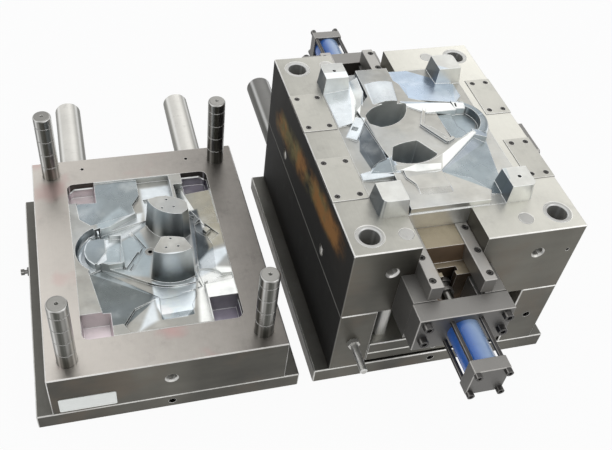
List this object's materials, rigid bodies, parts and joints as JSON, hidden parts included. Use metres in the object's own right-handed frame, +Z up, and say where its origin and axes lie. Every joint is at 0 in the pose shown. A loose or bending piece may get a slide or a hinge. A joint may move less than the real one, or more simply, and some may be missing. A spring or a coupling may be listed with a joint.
{
  "type": "vehicle body part mould",
  "caption": "Opened injection mould for a vehicle trim part: core half with two hydraulic side slides and ejector set, cavity half with guide pins beside it.",
  "frame": {"origin": "mouth of the knock-out bore, centre of the core half's underside", "axes": "+Z up out of the parting faces, -Y out of the front slide, -X towards the cavity half"},
  "size_m": [1.426, 1.395, 0.56],
  "materials": {
    "plate_steel": "surface ground tool steel, oiled sides",
    "insert_steel": "milled and polished tool steel",
    "turned_steel": "turned and ground steel",
    "hardened_steel": "hardened and ground steel",
    "black_oxide": "black oxide steel",
    "bracket_steel": "dark phosphated steel",
    "cylinder_paint": "blue enamel",
    "nameplate_metal": "plain brushed aluminium",
    "brass": "turned brass"
  },
  "bodies": {
    "mould": {"bracket_screws": "black_oxide", "cavity_clamp_plate": "plate_steel", "cavity_clamp_screws": "black_oxide", "cavity_insert": "insert_steel", "cavity_insert_screws": "black_oxide", "cavity_legs": "turned_steel", "cavity_plate": "plate_steel", "core_clamp_plate": "plate_steel", "core_clamp_screws": "black_oxide", "core_insert": "insert_steel", "core_insert_screws": "black_oxide", "core_legs": "turned_steel", "core_plate": "plate_steel", "front_arm_left": "bracket_steel", "front_arm_right": "bracket_steel", "front_cross_plate": "bracket_steel", "front_cylinder_cap": "bracket_steel", "front_cylinder_tube": "cylinder_paint", "front_gib_left": "hardened_steel", "front_gib_right": "hardened_steel", "gib_screws": "black_oxide", "guide_bushes": "turned_steel", "guide_pins": "turned_steel", "locating_ring": "hardened_steel", "nameplate": "nameplate_metal", "pull_rod": "turned_steel", "rear_arm_left": "bracket_steel", "rear_arm_right": "bracket_steel", "rear_cross_plate": "bracket_steel", "rear_cylinder_cap": "bracket_steel", "rear_cylinder_tube": "cylinder_paint", "rear_gib_left": "hardened_steel", "rear_gib_right": "hardened_steel", "safety_strap": "bracket_steel", "side_fitting": "brass", "spacer_block_left": "plate_steel", "spacer_block_right": "plate_steel", "sprue_bush": "hardened_steel", "stop_buttons": "hardened_steel", "strap_screws": "black_oxide", "support_pillars": "turned_steel", "tie_screws": "black_oxide", "wear_pad_screws": "black_oxide", "wear_pads_left": "hardened_steel", "wear_pads_right": "hardened_steel"},
    "front_slide": {"front_slide_block": "hardened_steel", "front_rod_coupling": "turned_steel", "front_piston_rod": "turned_steel", "front_piston": "hardened_steel"},
    "rear_slide": {"rear_slide_block": "hardened_steel", "rear_rod_coupling": "turned_steel", "rear_piston_rod": "turned_steel", "rear_piston": "hardened_steel"},
    "ejector_set": {"ejector_plate": "plate_steel", "ejector_retainer_plate": "plate_steel", "ejector_plate_screws": "black_oxide", "ejector_pins": "hardened_steel", "return_pins": "turned_steel"}
  },
  "joints": [
    {"name": "front_slide_travel", "type": "slide", "parent": "mould", "child": "front_slide", "axis": [0, -1, 0], "range_m": [0, 0.05]},
    {"name": "rear_slide_travel", "type": "slide", "parent": "mould", "child": "rear_slide", "axis": [0, 1, 0], "range_m": [0, 0.05]},
    {"name": "ejector_stroke", "type": "slide", "parent": "mould", "child": "ejector_set", "axis": [0, 0, 1], "range_m": [0, 0.08]}
  ]
}
